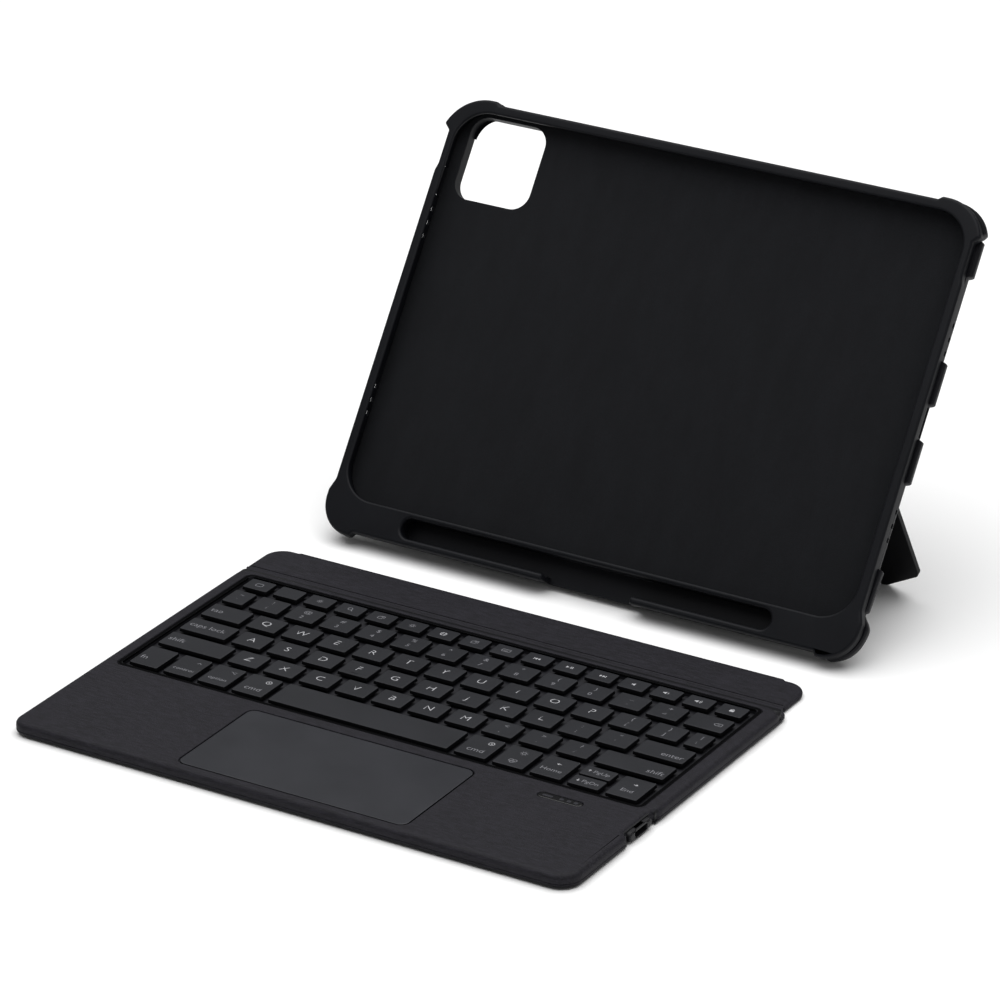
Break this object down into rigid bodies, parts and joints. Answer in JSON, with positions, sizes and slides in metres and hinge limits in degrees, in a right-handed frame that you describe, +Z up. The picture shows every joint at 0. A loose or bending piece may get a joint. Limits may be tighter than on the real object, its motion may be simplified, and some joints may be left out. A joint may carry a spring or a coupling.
{
  "type": "tablet keyboard case",
  "caption": "Rugged tablet shell with a kickstand and a stylus trough, and a thin folding keyboard with a trackpad that holds to it by magnets.",
  "frame": {"origin": "middle of the whole object's footprint, on the floor", "axes": "+X to the right along the width, +Y away from the person typing, +Z up"},
  "size_m": [0.2652, 0.3384, 0.1668],
  "materials": {
    "shell_plastic": "fine matt grain",
    "bumper_tpu": "soft matt",
    "lining_fabric": "short microfibre nap",
    "pu_leather": "fine pebble grain",
    "base_plastic": "matt",
    "key_plastic": "satin with printed legends",
    "tray_plastic": "matt",
    "pad_surface": "smooth satin",
    "kick_metal": "matt black powder coat",
    "steel": "brushed",
    "magnet_nickel": "nickel plate",
    "fibre_board": "plain",
    "circuit": "solder mask",
    "film": "printed film",
    "dome_rubber": "soft",
    "scissor_plastic": "plain",
    "cell_foil": "foil pouch",
    "lens_plastic": "dark gloss",
    "foot_rubber": "soft"
  },
  "bodies": {
    "shell": {"back_shell": "shell_plastic", "front_frame": "shell_plastic", "corner_bumpers": "bumper_tpu", "side_grips": "bumper_tpu", "back_lining": "lining_fabric", "shell_magnets": "magnet_nickel", "hinge_brackets": "steel", "hinge_pins": "steel", "hinge_screws": "steel", "hinge_covers": "shell_plastic"},
    "power_cover": {"power_button": "bumper_tpu"},
    "volume_up_cover": {"volume_up_button": "bumper_tpu"},
    "volume_down_cover": {"volume_down_button": "bumper_tpu"},
    "kickstand": {"kickstand_plate": "kick_metal", "kickstand_foot_pad": "foot_rubber"},
    "strip": {"strip_core": "fibre_board", "strip_magnets": "magnet_nickel", "strip_top_cover": "pu_leather", "strip_bottom_cover": "pu_leather", "fold_fabric_rear": "pu_leather"},
    "deck": {"fold_fabric_front": "pu_leather", "deck_top_cover": "pu_leather", "deck_frame": "base_plastic", "deck_bottom_cover": "base_plastic", "key_tray": "tray_plastic", "key_membrane": "film", "key_support_plate": "steel", "key_domes": "dome_rubber", "key_scissors": "scissor_plastic", "battery": "cell_foil", "main_board": "circuit", "usb_socket": "steel", "indicator_lens": "lens_plastic", "rubber_feet": "foot_rubber", "trackpad_switch": "steel"},
    "trackpad_body": {"trackpad": "pad_surface", "trackpad_board": "circuit"},
    "function_row": {"function_keys": "key_plastic"},
    "number_row": {"number_keys": "key_plastic"},
    "backspace_cap": {"key_backspace": "key_plastic"},
    "tab_cap": {"key_tab": "key_plastic"},
    "upper_letter_row": {"upper_letter_keys": "key_plastic"},
    "caps_lock_cap": {"key_caps_lock": "key_plastic"},
    "home_letter_row": {"home_letter_keys": "key_plastic"},
    "enter_cap": {"key_enter": "key_plastic"},
    "shift_left_cap": {"key_shift_left": "key_plastic"},
    "lower_letter_row": {"lower_letter_keys": "key_plastic"},
    "shift_right_cap": {"key_shift_right": "key_plastic"},
    "modifier_row": {"modifier_keys": "key_plastic"},
    "space_cap": {"key_space": "key_plastic"},
    "arrow_left_cap": {"key_arrow_left": "key_plastic"},
    "arrow_down_cap": {"key_arrow_down": "key_plastic"},
    "arrow_up_cap": {"key_arrow_up": "key_plastic"},
    "arrow_right_cap": {"key_arrow_right": "key_plastic"}
  },
  "joints": [
    {"name": "kickstand_hinge", "type": "hinge", "parent": "shell", "child": "kickstand", "pos_m": [0.00315, 0.09835, 0.06052], "axis": [1, 0, 0], "range_deg": [-65.3, 34]},
    {"name": "strip_dock_slide", "type": "slide", "parent": "shell", "child": "strip", "axis": [0.3294, 0.9442, 0], "range_m": [0, 0.02277]},
    {"name": "deck_fold", "type": "hinge", "parent": "strip", "child": "deck", "pos_m": [-0.00105, 0.00213, 0.0016], "axis": [-1, 0, 0], "range_deg": [0, 100]},
    {"name": "trackpad_click", "type": "slide", "parent": "deck", "child": "trackpad_body", "axis": [0, 0, -1], "range_m": [0, 0.00025], "stiffness_N_per_m": 3000, "springref_m": -0.0002},
    {"name": "power_press", "type": "slide", "parent": "shell", "child": "power_cover", "axis": [1, 0, 0], "range_m": [0, 0.0004], "stiffness_N_per_m": 4000, "springref_m": -0.0002},
    {"name": "volume_up_press", "type": "slide", "parent": "shell", "child": "volume_up_cover", "axis": [0, -0.5779, -0.8161], "range_m": [0, 0.0004], "stiffness_N_per_m": 4000, "springref_m": -0.0002},
    {"name": "volume_down_press", "type": "slide", "parent": "shell", "child": "volume_down_cover", "axis": [0, -0.5779, -0.8161], "range_m": [0, 0.0004], "stiffness_N_per_m": 4000, "springref_m": -0.0002},
    {"name": "press_function_row", "type": "slide", "parent": "deck", "child": "function_row", "axis": [0, 0, -1], "range_m": [0, 0.0011], "stiffness_N_per_m": 450, "springref_m": -0.0006},
    {"name": "press_number_row", "type": "slide", "parent": "deck", "child": "number_row", "axis": [0, 0, -1], "range_m": [0, 0.0011], "stiffness_N_per_m": 450, "springref_m": -0.0006},
    {"name": "press_backspace_cap", "type": "slide", "parent": "deck", "child": "backspace_cap", "axis": [0, 0, -1], "range_m": [0, 0.0011], "stiffness_N_per_m": 450, "springref_m": -0.0006},
    {"name": "press_tab_cap", "type": "slide", "parent": "deck", "child": "tab_cap", "axis": [0, 0, -1], "range_m": [0, 0.0011], "stiffness_N_per_m": 450, "springref_m": -0.0006},
    {"name": "press_upper_letter_row", "type": "slide", "parent": "deck", "child": "upper_letter_row", "axis": [0, 0, -1], "range_m": [0, 0.0011], "stiffness_N_per_m": 450, "springref_m": -0.0006},
    {"name": "press_caps_lock_cap", "type": "slide", "parent": "deck", "child": "caps_lock_cap", "axis": [0, 0, -1], "range_m": [0, 0.0011], "stiffness_N_per_m": 450, "springref_m": -0.0006},
    {"name": "press_home_letter_row", "type": "slide", "parent": "deck", "child": "home_letter_row", "axis": [0, 0, -1], "range_m": [0, 0.0011], "stiffness_N_per_m": 450, "springref_m": -0.0006},
    {"name": "press_enter_cap", "type": "slide", "parent": "deck", "child": "enter_cap", "axis": [0, 0, -1], "range_m": [0, 0.0011], "stiffness_N_per_m": 450, "springref_m": -0.0006},
    {"name": "press_shift_left_cap", "type": "slide", "parent": "deck", "child": "shift_left_cap", "axis": [0, 0, -1], "range_m": [0, 0.0011], "stiffness_N_per_m": 450, "springref_m": -0.0006},
    {"name": "press_lower_letter_row", "type": "slide", "parent": "deck", "child": "lower_letter_row", "axis": [0, 0, -1], "range_m": [0, 0.0011], "stiffness_N_per_m": 450, "springref_m": -0.0006},
    {"name": "press_shift_right_cap", "type": "slide", "parent": "deck", "child": "shift_right_cap", "axis": [0, 0, -1], "range_m": [0, 0.0011], "stiffness_N_per_m": 450, "springref_m": -0.0006},
    {"name": "press_modifier_row", "type": "slide", "parent": "deck", "child": "modifier_row", "axis": [0, 0, -1], "range_m": [0, 0.0011], "stiffness_N_per_m": 450, "springref_m": -0.0006},
    {"name": "press_space_cap", "type": "slide", "parent": "deck", "child": "space_cap", "axis": [0, 0, -1], "range_m": [0, 0.0011], "stiffness_N_per_m": 450, "springref_m": -0.0006},
    {"name": "press_arrow_left_cap", "type": "slide", "parent": "deck", "child": "arrow_left_cap", "axis": [0, 0, -1], "range_m": [0, 0.0011], "stiffness_N_per_m": 450, "springref_m": -0.0006},
    {"name": "press_arrow_down_cap", "type": "slide", "parent": "deck", "child": "arrow_down_cap", "axis": [0, 0, -1], "range_m": [0, 0.0011], "stiffness_N_per_m": 450, "springref_m": -0.0006},
    {"name": "press_arrow_up_cap", "type": "slide", "parent": "deck", "child": "arrow_up_cap", "axis": [0, 0, -1], "range_m": [0, 0.0011], "stiffness_N_per_m": 450, "springref_m": -0.0006},
    {"name": "press_arrow_right_cap", "type": "slide", "parent": "deck", "child": "arrow_right_cap", "axis": [0, 0, -1], "range_m": [0, 0.0011], "stiffness_N_per_m": 450, "springref_m": -0.0006}
  ]
}
